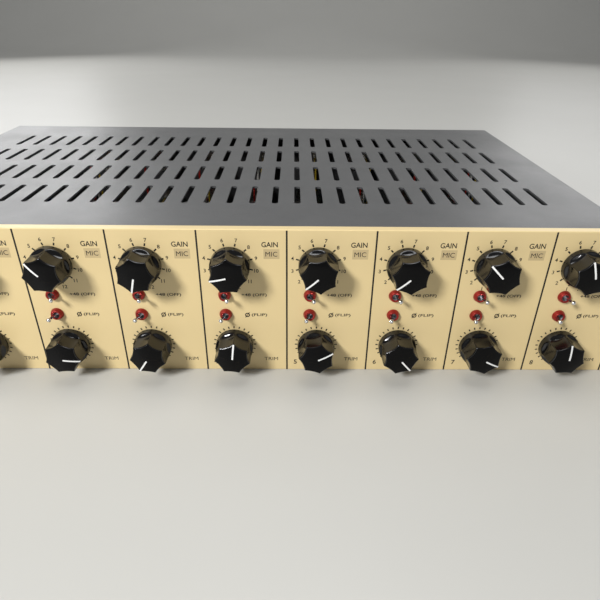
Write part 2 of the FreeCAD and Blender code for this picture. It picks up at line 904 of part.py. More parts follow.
def capacitor(x, y, radius, height):
    can = post(radius, x, y, board_top, board_top + height)
    rim = [edge for edge in can.Edges if edge.CenterOfMass.z > board_top + height - radius / 4]
    rim = [edge for edge in rim if abs(edge.tangentAt(0).z) < 0.5]
    return can.makeFillet(radius / 8, rim)


def capacitors():
    solids = []
    for channel in range(channel_count):
        x = board_x(channel) + capacitor_x
        for side in (-0.5, 0.5):
            y = panel_front + board_start + capacitor_place + side * capacitor_pitch
            solids.append(capacitor(x, y, capacitor_radius, capacitor_height))
    middle = panel_front + supply_board_start + supply_board_length / 2
    for step in (-1, 0, 1):
        solids.append(capacitor(supply_centre + filter_x, middle + step * filter_pitch,
                                filter_radius, filter_height))
    return Part.makeCompound(solids)


def regulator_heatsink():
    left = supply_centre + sink_x - sink_depth / 2
    middle = panel_front + supply_board_start + supply_board_length / 2
    back = left + sink_depth
    top = board_top + sink_height
    along = around(middle, sink_length)
    sink = box((back - sink_base, back), along, (board_top, top))
    step = (sink_length - sink_fin_thickness) / (sink_fins - 1)
    fins = [box((left, back - sink_base), around(along[0] + sink_fin_thickness / 2 + fin * step,
                                                 sink_fin_thickness), (board_top, top))
            for fin in range(sink_fins)]
    solids = [joined(sink, *fins)]
    pitch = sink_length / regulator_count
    for place in range(regulator_count):
        y = along[0] + (place + 0.5) * pitch
        low = board_top + sink_height / 3
        solids.append(box((back, back + regulator_thickness), around(y, regulator_width),
                          (low, low + regulator_height)))
    return Part.makeCompound(solids)


def mains_transformer():
    bottom = sheet + pad_thickness
    y = panel_front + toroid_place
    ring = post(toroid_radius, supply_centre, y, bottom, bottom + toroid_height)
    ring = ring.cut(post(toroid_hole_radius, supply_centre, y, bottom, bottom + toroid_height))
    rims = [edge for edge in ring.Edges if abs(edge.tangentAt(0).z) < 0.5]
    return ring.makeFillet(toroid_round, rims)


def transformer_fixing():
    y = panel_front + toroid_place
    pad = post(washer_radius, supply_centre, y, sheet, sheet + pad_thickness)
    level = sheet + pad_thickness + toroid_height
    washer = post(washer_radius, supply_centre, y, level, level + washer_thickness)
    nut_low = level + washer_thickness
    nut_high = nut_low + toroid_nut_thickness
    bolt = post(toroid_bolt_radius, supply_centre, y, sheet / 2, nut_high + toroid_bolt_radius)
    nut = hex_post(toroid_bolt_flats, supply_centre, y, nut_low, nut_high)
    hole = post(toroid_bolt_radius + push_clearance, supply_centre, y, 0, nut_high)
    return Part.makeCompound([pad.cut(hole), washer.cut(hole), nut.cut(hole), bolt])


def hook_up_wire(x, y_start, z_start, y_down, z_end):
    # Straight forward from the connector, round one bend, and straight down to the board.
    y_bend = y_down + wire_bend
    z_down = z_start - wire_bend
    forward = rod(wire_radius, x, z_start, y_bend, y_start)
    elbow = Part.makeTorus(wire_bend, wire_radius, Vector(0, 0, 0), Vector(0, 0, 1), 0, 360, 90)
    elbow.rotate(Vector(0, 0, 0), Vector(1, 0, 0), 90)
    elbow.rotate(Vector(0, 0, 0), Vector(0, 0, 1), -90)
    elbow.translate(Vector(x, y_bend, z_down))
    down = post(wire_radius, x, y_down, z_end, z_down)
    return joined(forward, elbow, down)


def signal_wires():
    solids = []
    start = connector_back() - cup_length
    board_end = panel_front + board_start + board_length
    for channel in range(channel_count):
        for z, inset in ((input_z, input_wire_inset), (output_z, output_wire_inset)):
            for cup_x, cup_z in contact_places(board_x(channel), z):
                y_down = board_end - inset
                solids.append(hook_up_wire(cup_x, start, cup_z, y_down, board_top))
    return Part.makeCompound(solids)


def moving_parts():
    parts = {}
    pattern = knob()
    for channel in range(channel_count):
        number = str(channel + 1)
        x = channel_left(channel) + knob_x
        parts["gain_knob_" + number] = set_knob(pattern, x, gain_z, gain_angles[channel])
        parts["trim_knob_" + number] = set_knob(pattern, x, trim_z, trim_angles[channel])
        x = channel_left(channel) + toggle_x
        upright = Vector(0, 0, 1)
        parts["phantom_lever_" + number] = set_lever(x, phantom_z, upright, lever_tilt, 1)
        parts["polarity_lever_" + number] = set_lever(x, polarity_z, upright, -lever_tilt, 1)
    parts["power_lever"] = set_lever(power_centre, power_z, Vector(1, 0, 0), -lever_tilt, power_scale)
    return parts


def fixed_parts():
    makers = (front_panel, panel_fixings, chassis_base, top_cover, cover_screws,
              toggle_switch_bodies, toggle_dress_nuts, rotary_switch_bodies, trim_pot_bodies,
              control_nuts, circuit_boards, board_fixings, input_transformers,
              output_transformers, op_amp_modules, capacitors, signal_wires, input_connectors,
              input_inserts, output_connectors, connector_contacts, connector_screws, mains_inlet,
              mains_transformer, transformer_fixing, regulator_heatsink,
              pilot_lamp)
    return {maker.__name__: maker() for maker in makers}


os.makedirs("parts", exist_ok=True)
for name, shape in {**fixed_parts(), **moving_parts()}.items():
    shape.exportStep("parts/" + name + ".step")
    print(name, len(shape.Solids), "solids,", round(shape.Volume), "mm3")
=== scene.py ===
import bpy
import bmesh
import json
import math
from functools import partial
from mathutils import Matrix, Vector


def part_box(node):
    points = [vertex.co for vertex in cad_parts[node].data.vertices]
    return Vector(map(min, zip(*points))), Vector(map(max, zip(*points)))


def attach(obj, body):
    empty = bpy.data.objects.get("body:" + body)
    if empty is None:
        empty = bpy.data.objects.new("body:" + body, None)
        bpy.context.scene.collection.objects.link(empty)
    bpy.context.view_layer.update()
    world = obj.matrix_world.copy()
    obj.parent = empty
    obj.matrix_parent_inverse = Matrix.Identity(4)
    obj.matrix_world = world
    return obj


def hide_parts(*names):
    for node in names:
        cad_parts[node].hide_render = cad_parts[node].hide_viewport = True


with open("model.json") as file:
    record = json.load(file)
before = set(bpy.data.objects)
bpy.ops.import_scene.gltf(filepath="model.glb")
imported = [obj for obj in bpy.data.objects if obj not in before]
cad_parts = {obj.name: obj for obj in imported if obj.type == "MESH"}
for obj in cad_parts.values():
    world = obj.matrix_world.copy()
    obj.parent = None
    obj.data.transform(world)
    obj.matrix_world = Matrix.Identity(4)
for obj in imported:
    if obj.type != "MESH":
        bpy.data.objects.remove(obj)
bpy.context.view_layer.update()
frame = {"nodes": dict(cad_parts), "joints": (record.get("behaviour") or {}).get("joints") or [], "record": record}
nodes = frame["nodes"]
joints = {joint["child"]: joint for joint in frame["joints"]}
materials = {}
unmoved = Matrix.Identity(4)
channels = range(1, 9)
print("frame loaded:", len(nodes), "nodes")


# Small helpers for meshes

def newObject(name, data):
    result = bpy.data.objects.new(name, data)
    bpy.context.scene.collection.objects.link(result)
    return result


def meshObject(name, vertices, faces, materialNames, faceMaterials=None, smooth=True):
    mesh = bpy.data.meshes.new(name)
    mesh.from_pydata([tuple(v) for v in vertices], [], faces)
    for materialName in materialNames:
        mesh.materials.append(materials[materialName])
    for index, polygon in enumerate(mesh.polygons):
        polygon.use_smooth = smooth
        if faceMaterials:
            polygon.material_index = faceMaterials[index]
    mesh.validate()
    return newObject(name, mesh)


onAxis = 1e-9  # a profile's radius below this is a single point
samePlace = 1e-7  # vertices closer than this are merged


def turned(profile, segments, closed=False):
    # Points are (radius, height) up the Z axis; a radius of 0 at either end closes the shape.
    vertices, rings, faces = [], [], []
    for radius, height in profile:
        if radius < onAxis:
            rings.append([len(vertices)])
            vertices.append(Vector((0, 0, height)))
            continue
        start = len(vertices)
        for step in range(segments):
            turn = 2 * math.pi * step / segments
            vertices.append(Vector((radius * math.cos(turn), radius * math.sin(turn), height)))
        rings.append(list(range(start, start + segments)))
    pairs = list(zip(rings, rings[1:]))
    if closed:
        pairs.append((rings[-1], rings[0]))
    for lower, upper in pairs:
        for step in range(segments):
            following = (step + 1) % segments
            if len(lower) == 1:
                faces.append((lower[0], upper[following], upper[step]))
            elif len(upper) == 1:
                faces.append((lower[step], lower[following], upper[0]))
            else:
                faces.append((lower[step], lower[following], upper[following], upper[step]))
    return vertices, faces


def arc(centre, radius, startDegrees, endDegrees, count):
    points = []
    for step in range(count + 1):
        turn = math.radians(startDegrees + (endDegrees - startDegrees) * step / count)
        points.append((centre[0] + radius * math.cos(turn), centre[1] + radius * math.sin(turn)))
    return points


def joinedObject(name, parts):
    # Copies every part's mesh into one mesh, with its matrix applied and its materials kept.
    target = bmesh.new()
    slots = []
    for part, matrix in parts:
        piece = part.data.copy()
        piece.transform(matrix)
        if matrix.determinant() < 0:
            piece.flip_normals()
        remap = []
        for material in piece.materials:
            if material not in slots:
                slots.append(material)
            remap.append(slots.index(material))
        for polygon in piece.polygons:
            polygon.material_index = remap[polygon.material_index] if remap else 0
        target.from_mesh(piece)
        bpy.data.meshes.remove(piece)
    mesh = bpy.data.meshes.new(name)
    target.to_mesh(mesh)
    target.free()
    for material in slots:
        mesh.materials.append(material)
    return newObject(name, mesh)


def discard(*objects):
    for item in objects:
        bpy.data.objects.remove(item)


def evaluatedCopy(source, name):
    # The modifier's result as a plain mesh object.
    depsgraph = bpy.context.evaluated_depsgraph_get()
    mesh = bpy.data.meshes.new_from_object(source.evaluated_get(depsgraph), depsgraph=depsgraph)
    mesh.name = name
    return newObject(name, mesh)


def turnOutward(mesh, merge=False):
    work = bmesh.new()
    work.from_mesh(mesh)
    if merge:
        bmesh.ops.remove_doubles(work, verts=work.verts, dist=samePlace)
    bmesh.ops.recalc_face_normals(work, faces=work.faces)
    work.to_mesh(mesh)
    work.free()


def pieceName(node):
    # "gain_knob_3" becomes "gainKnob3".
    first, kind, *number = node.split("_")
    return first + kind.capitalize() + "".join(number)


# Small helpers for node trees

def linked(tree, kind, inputs=None, **settings):
    # Makes a node, sets its properties, then feeds or sets its inputs by name or number.
    node = tree.nodes.new(kind)
    for key, value in settings.items():
        setattr(node, key, value)
    for key, value in (inputs or {}).items():
        if isinstance(value, bpy.types.NodeSocket):
            tree.links.new(value, node.inputs[key])
        else:
            node.inputs[key].default_value = value
    return node


def maths(tree, operation, first, second=None, third=None):
    inputs = {0: first}
    if second is not None:
        inputs[1] = second
    if third is not None:
        inputs[2] = third
    return linked(tree, "ShaderNodeMath", inputs, operation=operation).outputs[0]


def remap(tree, value, fromLow, fromHigh, toLow=0.0, toHigh=1.0):
    inputs = {0: value, 1: fromLow, 2: fromHigh, 3: toLow, 4: toHigh}
    return linked(tree, "ShaderNodeMapRange", inputs).outputs[0]


def mixed(tree, factor, first, second):
    return linked(tree, "ShaderNodeMix", {0: factor, 6: first, 7: second}, data_type="RGBA").outputs[2]


def noise(tree, place, scale, detail, roughness=0.5):
    inputs = {"Vector": place, "Scale": scale, "Detail": detail, "Roughness": roughness}
    return linked(tree, "ShaderNodeTexNoise", inputs).outputs["Fac"]


def newGroup(name, kind, inputs, outputs):
    tree = bpy.data.node_groups.new(name, kind)
    for label, socketType, value in inputs:
        socket = tree.interface.new_socket(label, in_out="INPUT", socket_type=socketType)
        if value is not None:
            socket.default_value = value
    for label, socketType in outputs:
        tree.interface.new_socket(label, in_out="OUTPUT", socket_type=socketType)
    return tree, tree.nodes.new("NodeGroupInput").outputs, tree.nodes.new("NodeGroupOutput").inputs


def endTree(tree, geometry, given, put):
    real = linked(tree, "GeometryNodeRealizeInstances", {0: geometry}).outputs[0]
    painted = linked(tree, "GeometryNodeSetMaterial", {"Geometry": real, "Material": given["Material"]})
    tree.links.new(painted.outputs[0], put["Geometry"])


def addModifier(target, tree, values):
    modifier = target.modifiers.new(tree.name, "NODES")
    modifier.node_group = tree
    for item in tree.interface.items_tree:
        if item.item_type == "SOCKET" and item.in_out == "INPUT" and item.name in values:
            modifier[item.identifier] = values[item.name]
    return modifier


# Shader groups shared by the materials

def grainGroup():
    # Blotches of two tones, a fine grain for bump, and a roughness that wanders a little.
    tree, given, put = newGroup("surfaceGrain", "ShaderNodeTree",
                                [("Tone A", "NodeSocketColor", (0.5, 0.5, 0.5, 1)),
                                 ("Tone B", "NodeSocketColor", (0.5, 0.5, 0.5, 1)),
                                 ("Blotch Scale", "NodeSocketFloat", 40.0),
                                 ("Grain Scale", "NodeSocketFloat", 900.0),
                                 ("Rough Low", "NodeSocketFloat", 0.3),
                                 ("Rough High", "NodeSocketFloat", 0.4)],
                                [("Color", "NodeSocketColor"), ("Roughness", "NodeSocketFloat"),
                                 ("Height", "NodeSocketFloat")])
    place = linked(tree, "ShaderNodeTexCoord").outputs["Object"]
    blotch = noise(tree, place, given["Blotch Scale"], 4.0, 0.55)
    grain = noise(tree, place, given["Grain Scale"], 3.0, 0.6)
    spread = remap(tree, blotch, 0.3, 0.7)
    both = maths(tree, "MULTIPLY_ADD", grain, 0.4, maths(tree, "MULTIPLY", blotch, 0.6))
    rough = remap(tree, both, 0.3, 0.7, given["Rough Low"], given["Rough High"])
    tree.links.new(mixed(tree, spread, given["Tone A"], given["Tone B"]), put["Color"])
    tree.links.new(rough, put["Roughness"])
    tree.links.new(grain, put["Height"])
    return tree


def scratchGroup():
    # Thin hairlines in many directions, as a mask.
    tree, given, put = newGroup("hairScratches", "ShaderNodeTree",
                                [("Scale", "NodeSocketFloat", 60.0), ("Amount", "NodeSocketFloat", 0.3)],
                                [("Mask", "NodeSocketFloat")])
    place = linked(tree, "ShaderNodeTexCoord").outputs["Object"]
    masks = []
    for turn, stretch in ((0.6, 30.0), (2.1, 22.0)):
        mapped = linked(tree, "ShaderNodeMapping", {"Vector": place, "Rotation": (turn, turn * 0.7, turn),
                                                    "Scale": (1.0, stretch, stretch)}).outputs[0]
        masks.append(remap(tree, noise(tree, mapped, given["Scale"], 2.0), 0.68, 0.74))
    either = maths(tree, "MAXIMUM", masks[0], masks[1])
    tree.links.new(maths(tree, "MULTIPLY", either, given["Amount"]), put["Mask"])
    return tree


def dustGroup():
    # A thin film of dust on what faces up.
    tree, given, put = newGroup("dustFilm", "ShaderNodeTree",
                                [("Color", "NodeSocketColor", (0.5, 0.5, 0.5, 1)),
                                 ("Dust", "NodeSocketColor", (0.5, 0.48, 0.44, 1)),
                                 ("Amount", "NodeSocketFloat", 0.1)],
                                [("Color", "NodeSocketColor")])
    up = linked(tree, "ShaderNodeSeparateXYZ",
                {0: linked(tree, "ShaderNodeNewGeometry").outputs["Normal"]}).outputs[2]
    facing = remap(tree, up, 0.4, 1.0)
    place = linked(tree, "ShaderNodeTexCoord").outputs["Object"]
    patch = remap(tree, noise(tree, place, 120.0, 6.0, 0.7), 0.35, 0.75, 0.2, 1.0)
    amount = maths(tree, "MULTIPLY", maths(tree, "MULTIPLY", facing, patch), given["Amount"])
    tree.links.new(mixed(tree, amount, given["Color"], given["Dust"]), put["Color"])
    return tree


secondTone = 0.88  # the darker tone, where a finish gives only one
scratchRough = 0.25
bumpDepth = 0.0002
coatRough = 0.1
shaderGroups = {"grain": grainGroup(), "scratch": scratchGroup(), "dust": dustGroup()}


def surface(name, toneA, toneB=None, rough=(0.3, 0.4), metallic=0.0, blotch=40.0, grain=900.0,
            bump=0.05, scratches=0.0, dust=0.0, specular=0.5, coat=0.0):
    # The common material: grain for colour, roughness and bump, then optional scratches and dust.
    material = bpy.data.materials.new(name)
    material.use_nodes = True
    tree = material.node_tree
    shader = tree.nodes["Principled BSDF"]
    toneB = toneB or tuple(secondTone * value for value in toneA)
    group = linked(tree, "ShaderNodeGroup", node_tree=shaderGroups["grain"])
    for label, value in (("Tone A", (*toneA, 1)), ("Tone B", (*toneB, 1)), ("Blotch Scale", blotch),
                         ("Grain Scale", grain), ("Rough Low", rough[0]), ("Rough High", rough[1])):
        group.inputs[label].default_value = value
    color, roughness, height = group.outputs["Color"], group.outputs["Roughness"], group.outputs["Height"]
    if scratches:
        hair = linked(tree, "ShaderNodeGroup", node_tree=shaderGroups["scratch"])
        hair.inputs["Amount"].default_value = scratches
        rougher = maths(tree, "MULTIPLY", hair.outputs["Mask"], scratchRough)
        roughness = maths(tree, "ADD", roughness, rougher)
        height = maths(tree, "SUBTRACT", height, hair.outputs["Mask"])
    if dust:
        film = linked(tree, "ShaderNodeGroup", node_tree=shaderGroups["dust"])
        film.inputs["Amount"].default_value = dust
        tree.links.new(color, film.inputs["Color"])
        color = film.outputs["Color"]
    tree.links.new(color, shader.inputs["Base Color"])
    tree.links.new(roughness, shader.inputs["Roughness"])
    bumpNode = linked(tree, "ShaderNodeBump", {"Height": height, "Strength": bump, "Distance": bumpDepth})
    tree.links.new(bumpNode.outputs[0], shader.inputs["Normal"])
    shader.inputs["Metallic"].default_value = metallic
    shader.inputs["Specular IOR Level"].default_value = specular
    shader.inputs["Coat Weight"].default_value = coat
    shader.inputs["Coat Roughness"].default_value = coatRough
    materials[name] = material


finishes = {
    "creamPaint": dict(toneA=(0.715, 0.560, 0.290), toneB=(0.690, 0.540, 0.278), rough=(0.36, 0.46),
                       blotch=18.0, grain=2200.0, bump=0.06, dust=0.04),
    "powderCoat": dict(toneA=(0.082, 0.083, 0.085), toneB=(0.070, 0.071, 0.073), rough=(0.34, 0.46),
                       blotch=26.0, grain=2600.0, bump=0.32, scratches=0.05, dust=0.03, specular=0.6),
    "knobPhenolic": dict(toneA=(0.0042, 0.0040, 0.0042), rough=(0.10, 0.18), blotch=60.0, grain=1500.0,
                         bump=0.02, scratches=0.12, specular=0.5),
    # The knob's face is the same phenolic, a touch darker and far less reflective. This is painted shade for the
    # black look the faces get from reflecting a dark room.
    "knobFace": dict(toneA=(0.0035, 0.0034, 0.0035), rough=(0.16, 0.26), blotch=60.0, grain=1500.0,
                     bump=0.02, scratches=0.1, specular=0.10),
    "pointerWhite": dict(toneA=(0.86, 0.86, 0.84), rough=(0.4, 0.5), bump=0.02),
    "blackInk": dict(toneA=(0.010, 0.009, 0.009), rough=(0.45, 0.6), grain=3000.0, bump=0.02, specular=0.3),
    "labelStock": dict(toneA=(0.560, 0.430, 0.225), rough=(0.5, 0.6), grain=3000.0, bump=0.03),
    "leverChrome": dict(toneA=(0.82, 0.82, 0.83), toneB=(0.78, 0.78, 0.80), rough=(0.12, 0.22),
                        metallic=1.0, bump=0.01, scratches=0.08),
    "redAnodised": dict(toneA=(0.34, 0.026, 0.020), toneB=(0.28, 0.020, 0.016), rough=(0.32, 0.44),
                        metallic=0.6, grain=1800.0, bump=0.03),
    "nickelPlate": dict(toneA=(0.60, 0.58, 0.54), rough=(0.22, 0.34), metallic=1.0, bump=0.03,
                        scratches=0.15),
    "zincPlate": dict(toneA=(0.60, 0.62, 0.65), rough=(0.26, 0.40), metallic=1.0, bump=0.04, scratches=0.2),
    "blackOxide": dict(toneA=(0.022, 0.022, 0.024), rough=(0.28, 0.4), metallic=0.6, bump=0.04),
    "switchFrame": dict(toneA=(0.50, 0.50, 0.52), rough=(0.3, 0.42), metallic=1.0, bump=0.05,
                        scratches=0.2),
    "brownPhenolic": dict(toneA=(0.050, 0.026, 0.016), toneB=(0.036, 0.019, 0.012), rough=(0.4, 0.55),
                          bump=0.1),
    "solderMask": dict(toneA=(0.012, 0.085, 0.030), toneB=(0.010, 0.066, 0.024), rough=(0.22, 0.34),
                       bump=0.05),
    "drawnCan": dict(toneA=(0.50, 0.49, 0.46), rough=(0.3, 0.42), metallic=1.0, bump=0.04, scratches=0.25),
    "varnishedIron": dict(toneA=(0.075, 0.066, 0.060), toneB=(0.048, 0.040, 0.036), rough=(0.35, 0.5),
                          metallic=0.4, bump=0.15),
    "pottingResin": dict(toneA=(0.014, 0.014, 0.016), rough=(0.35, 0.5), bump=0.1),
    "blueSleeve": dict(toneA=(0.018, 0.045, 0.15), rough=(0.16, 0.26), bump=0.03),
    "wireRed": dict(toneA=(0.55, 0.028, 0.018), rough=(0.3, 0.4), bump=0.03),
    "wireWhite": dict(toneA=(0.78, 0.77, 0.72), rough=(0.3, 0.4), bump=0.03),
    "wireYellow": dict(toneA=(0.72, 0.50, 0.04), rough=(0.3, 0.4), bump=0.03),
    "contactSilver": dict(toneA=(0.80, 0.78, 0.72), rough=(0.16, 0.26), metallic=1.0, bump=0.02),
    "blackPlastic": dict(toneA=(0.016, 0.016, 0.017), rough=(0.42, 0.55), grain=2400.0, bump=0.12),
    "windingTape": dict(toneA=(0.62, 0.42, 0.035), toneB=(0.50, 0.33, 0.025), rough=(0.12, 0.24), bump=0.1),
    "blackAnodised": dict(toneA=(0.026, 0.026, 0.028), rough=(0.35, 0.48), metallic=0.6, bump=0.06),
    "lampRed": dict(toneA=(0.50, 0.018, 0.012), rough=(0.06, 0.12), bump=0.0, coat=1.0)}
for finishName, values in finishes.items():
    surface(finishName, **values)
print("materials made:", len(materials))

slotFinish = {"cream_paint": "creamPaint", "grey_powder_coat": "powderCoat",
              "knob_phenolic": "knobPhenolic", "lever_chrome": "leverChrome",
              "red_anodised": "redAnodised", "nickel": "nickelPlate", "zinc_steel": "zincPlate",
              "black_screws": "blackOxide", "switch_metal": "switchFrame",
              "switch_phenolic": "brownPhenolic", "circuit_board": "solderMask",
              "screening_can": "drawnCan", "transformer_iron": "varnishedIron",
              "potting_resin": "pottingResin", "capacitor_sleeve": "blueSleeve", "wire_sleeve": "wireRed",
              "contact_silver": "contactSilver", "black_plastic": "blackPlastic",
              "winding_tape": "windingTape", "black_anodised": "blackAnodised", "lamp_red": "lampRed"}
for part in frame["record"]["subparts"]:
    target = nodes[part["node"]]
    target.data.materials.clear()
    target.data.materials.append(materials[slotFinish[part["material_slot"]]])
print("CAD nodes painted")


# Where things are, read from the frame

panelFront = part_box("front_panel")[0].y
knobCentre = {name: Vector(joint["pos_m"]) for name, joint in joints.items() if "knob" in name}
leverPivot = {name: Vector(joint["pos_m"]) for name, joint in joints.items() if "lever" in name}
channelPitch = knobCentre["gain_knob_2"].x - knobCentre["gain_knob_1"].x
travel = {name: joints[name]["range_deg"] for name in joints}
fullTurn = {name: (high - low) / 2 for name, (low, high) in travel.items()}
restTurn = {name: -fullTurn[name] - travel[name][0] for name in knobCentre}  # clockwise from straight up
tilt = fullTurn["phantom_lever_1"]


# Knobs

knobSizes = {"gap": 0.0008, "height": 0.01554, "baseRadius": 0.0106, "faceRadius": 0.0101, "skirt": 0.0016,
             "rim": 0.0010, "rimDegrees": 68, "crown": 0.0023, "baseEdge": 0.0004, "sideRows": 24,
             "faceRows": 9, "segments": 168, "faceSlope": 0.92,
             "lobes": 7, "fluteRadius": 0.014, "floorRadius": 0.0084, "fluteEnd": 0.0034, "endRound": 0.0030,
             "softness": 0.0004, "recessRadius": 0.0079, "recessDepth": 0.0034, "recessEdge": 0.0003,
             "shaftRadius": 0.003175, "shaftSunk": 0.0005, "shaftSegments": 32,
             "pointerWidth": 0.0009, "pointerStart": 0.0007, "pointerEnd": 0.0096, "pointerProud": 0.00005,
             "pointerThick": 0.0003, "pointerRows": 14}
screwSizes = {"height": 0.009, "radius": 0.00175, "outer": 0.0081, "slot": 0.0007, "slotDepth": 0.0008,
              "floor": 0.001, "halfSteps": 12, "floorSteps": 24}
rimCentre = knobSizes["faceRadius"] - knobSizes["rim"]
shoulder = knobSizes["gap"] + knobSizes["height"] - knobSizes["crown"]


def crownRadius():
    crown, rim = knobSizes["crown"], knobSizes["rim"]
    return (rimCentre ** 2 + crown ** 2 - rim ** 2) / (2 * (crown - rim))


def faceHeight(radius):
    # Height of the knob's crown above the panel, with the rim's round outside it.
    rim, curve = knobSizes["rim"], crownRadius()
    if radius <= rimCentre * curve / (curve - rim):
        return knobSizes["gap"] + knobSizes["height"] - curve + math.sqrt(curve ** 2 - radius ** 2)
    return shoulder + math.sqrt(max(rim ** 2 - (radius - rimCentre) ** 2, 0))


def knobProfile():
    size = knobSizes
    gap, base, recess = size["gap"], size["baseRadius"], size["recessRadius"]
    inner = gap + size["recessDepth"]
    edge = size["recessEdge"]
    points = [(0, inner), (recess, inner), (recess, gap + edge)]
    points += arc((recess + edge, gap + edge), edge, 180, 270, 3)
    edge = size["baseEdge"]
    points += arc((base - edge, gap + edge), edge, 270, 360, 4)
    sideStart = gap + size["skirt"]
    for step in range(size["sideRows"] + 1):
        part = step / size["sideRows"]
        points.append((base + (size["faceRadius"] - base) * part, sideStart + (shoulder - sideStart) * part))
    points += arc((rimCentre, shoulder), size["rim"], 0, size["rimDegrees"], 7)[1:]
    for step in range(size["faceRows"], -1, -1):
        radius = rimCentre * step / size["faceRows"]
        points.append((radius, faceHeight(radius)))
    return points


def fluteTree():
    # Carves flutes round a turned blank: pulls each point in along its radius to the flute's wall.
    tree, given, put = newGroup("carveFlutes", "GeometryNodeTree",
                                [("Geometry", "NodeSocketGeometry", None), ("Lobes", "NodeSocketInt", 7),
                                 ("Flute Radius", "NodeSocketFloat", 0.014),
                                 ("Floor Radius", "NodeSocketFloat", 0.0084),
                                 ("Flute Start", "NodeSocketFloat", 0.0042),
                                 ("End Round", "NodeSocketFloat", 0.003),
                                 ("Base Radius", "NodeSocketFloat", 0.0106),
                                 ("Face Radius", "NodeSocketFloat", 0.0101),
                                 ("Base Height", "NodeSocketFloat", 0.0008),
                                 ("Face Height", "NodeSocketFloat", 0.0156),
                                 ("Softness", "NodeSocketFloat", 0.0004),
                                 ("Crown Radius", "NodeSocketFloat", 0.0335),
                                 ("Material", "NodeSocketMaterial", None)],
                                [("Geometry", "NodeSocketGeometry")])
    calc = partial(maths, tree)
    place = linked(tree, "GeometryNodeInputPosition").outputs[0]
    split = linked(tree, "ShaderNodeSeparateXYZ", {0: place}).outputs
    x, y, height = split[0], split[1], split[2]
    turn = calc("ARCTAN2", x, y)  # 0 at the pointer, which is along +Y
    pitch = calc("DIVIDE", 2 * math.pi, given["Lobes"])
    across = calc("SUBTRACT", turn, calc("MULTIPLY", pitch, 0.5))
    across = calc("WRAP", across, calc("MULTIPLY", pitch, 0.5), calc("MULTIPLY", pitch, -0.5))
    up = calc("SUBTRACT", height, given["Flute Start"])
    up = calc("MINIMUM", calc("MAXIMUM", up, 0.0), given["End Round"])
    short = calc("SUBTRACT", given["End Round"], up)
    squared = calc("SUBTRACT", calc("MULTIPLY", given["End Round"], given["End Round"]),
                   calc("MULTIPLY", short, short))
    rise = calc("SQRT", calc("MAXIMUM", squared, 0.0))
    cutter = calc("ADD", calc("SUBTRACT", given["Flute Radius"], given["End Round"]), rise)
    axis = calc("ADD", given["Flute Radius"], given["Floor Radius"])
    side = calc("MULTIPLY", axis, calc("SINE", across))
    reach = calc("SUBTRACT", calc("MULTIPLY", cutter, cutter), calc("MULTIPLY", side, side))
    reach = calc("SQRT", calc("MAXIMUM", reach, 0.0))
    wall = calc("SUBTRACT", calc("MULTIPLY", axis, calc("COSINE", across)), reach)
    body = remap(tree, height, given["Base Height"], given["Face Height"],
                 given["Base Radius"], given["Face Radius"])
    above = calc("GREATER_THAN", height, given["Flute Start"])
    wall = calc("ADD", wall, calc("MULTIPLY", calc("SUBTRACT", 1.0, above), 0.05))  # no flute in the skirt
    carved = calc("SMOOTH_MIN", wall, body, given["Softness"])
    scale = calc("MINIMUM", calc("DIVIDE", carved, body), 1.0)
    lowEnough = calc("LESS_THAN", height, given["Flute Start"])
    scale = calc("MAXIMUM", scale, lowEnough)
    out = calc("ADD", calc("MULTIPLY", x, x), calc("MULTIPLY", y, y))
    lost = calc("SUBTRACT", 1.0, calc("MULTIPLY", scale, scale))
    lift = calc("DIVIDE", calc("MULTIPLY", out, lost), calc("MULTIPLY", given["Crown Radius"], 2.0))
    part = remap(tree, height, given["Flute Start"], given["Face Height"])
    raised = calc("ADD", height, calc("MULTIPLY", lift, part))  # keeps the crown one surface
    moved = linked(tree, "ShaderNodeCombineXYZ", {0: calc("MULTIPLY", x, scale),
                                                  1: calc("MULTIPLY", y, scale), 2: raised})
    shaped = linked(tree, "GeometryNodeSetPosition", {"Geometry": given["Geometry"],
                                                      "Position": moved.outputs[0]})
    endTree(tree, shaped.outputs[0], given, put)
    return tree


def makePointer():
    # A thin strip that follows the crown from near its middle to the edge, along +Y.
    size = knobSizes
    count, half, thick = size["pointerRows"], size["pointerWidth"] / 2, size["pointerThick"]
    strip = []
    for step in range(count + 1):
        radius = size["pointerStart"] + (size["pointerEnd"] - size["pointerStart"]) * step / count
        top = faceHeight(radius) + size["pointerProud"]
        strip += [(-half, radius, top - thick), (half, radius, top - thick)]
        strip += [(half, radius, top), (-half, radius, top)]
    faces = [(0, 1, 2, 3), (4 * count + 3, 4 * count + 2, 4 * count + 1, 4 * count)]
    for step in range(count):
        here, after = 4 * step, 4 * step + 4
        for corner in range(4):
            following = (corner + 1) % 4
            faces.append((here + corner, after + corner, after + following, here + following))
    return meshObject("pointerLine", strip, faces, ["pointerWhite"], smooth=False)


def addPrism(vertices, faces, outline, depths):
    # A closed prism along -Y between two depths, from an outline (across, up) round the screw's centre.
    begin, count = len(vertices), len(outline)
    for depth in depths:
        vertices += [(across, -depth, screwSizes["height"] + up) for across, up in outline]
    low = list(range(begin, begin + count))
    high = list(range(begin + count, begin + 2 * count))
    faces += [tuple(low), tuple(reversed(high))]
    for step in range(count):
        following = (step + 1) % count
        faces.append((low[step], high[step], high[following], low[following]))


